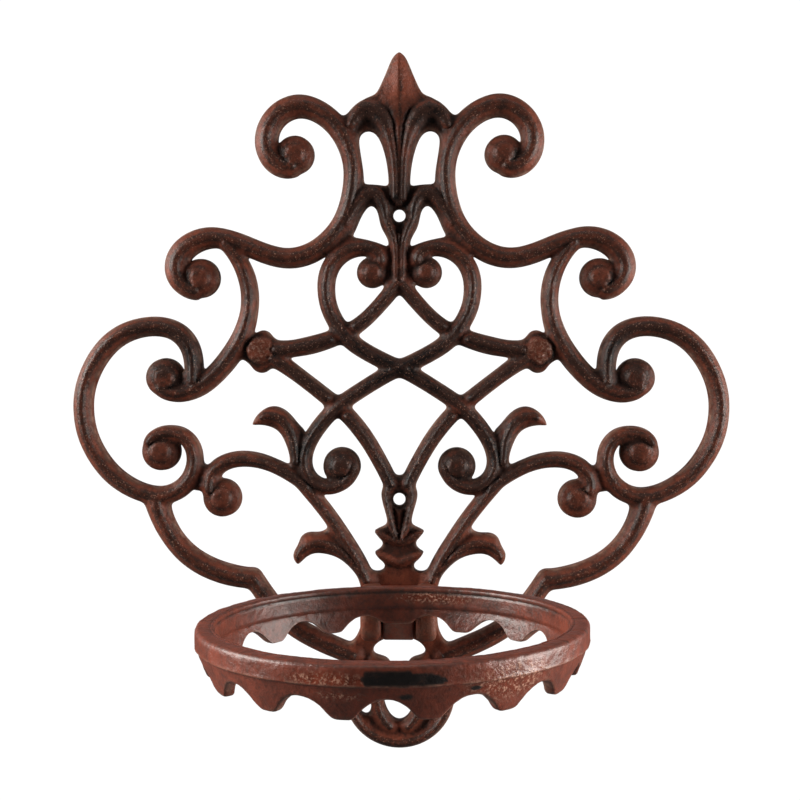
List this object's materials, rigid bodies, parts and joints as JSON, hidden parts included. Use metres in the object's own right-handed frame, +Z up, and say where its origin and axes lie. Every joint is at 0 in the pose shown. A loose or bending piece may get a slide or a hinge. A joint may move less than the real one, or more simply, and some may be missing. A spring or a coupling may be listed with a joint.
{
  "type": "wall sconce holder ring",
  "caption": "Antique-brown cast-iron scrollwork wall bracket with a hinged, fold-up scalloped ring that holds a pot or candle glass.",
  "frame": {"origin": "on the wall plane, midway between the two screw holes", "axes": "+Z up, the wall at Y = 0, the bracket's front faces -Y"},
  "size_m": [0.2962, 0.172, 0.3141],
  "materials": {
    "cast_iron": "antique brown patina, polished ridges",
    "ring_iron": "antique brown patina, sand-cast grain",
    "pin_steel": "browned steel"
  },
  "bodies": {
    "back_plate": {"back_plate": "cast_iron", "hinge_pin": "pin_steel"},
    "pot_ring": {"pot_ring": "ring_iron"}
  },
  "joints": [
    {"name": "ring_fold", "type": "hinge", "parent": "back_plate", "child": "pot_ring", "pos_m": [0, -0.0165, -0.1063], "axis": [-1, 0, 0], "range_deg": [0, 90]}
  ]
}
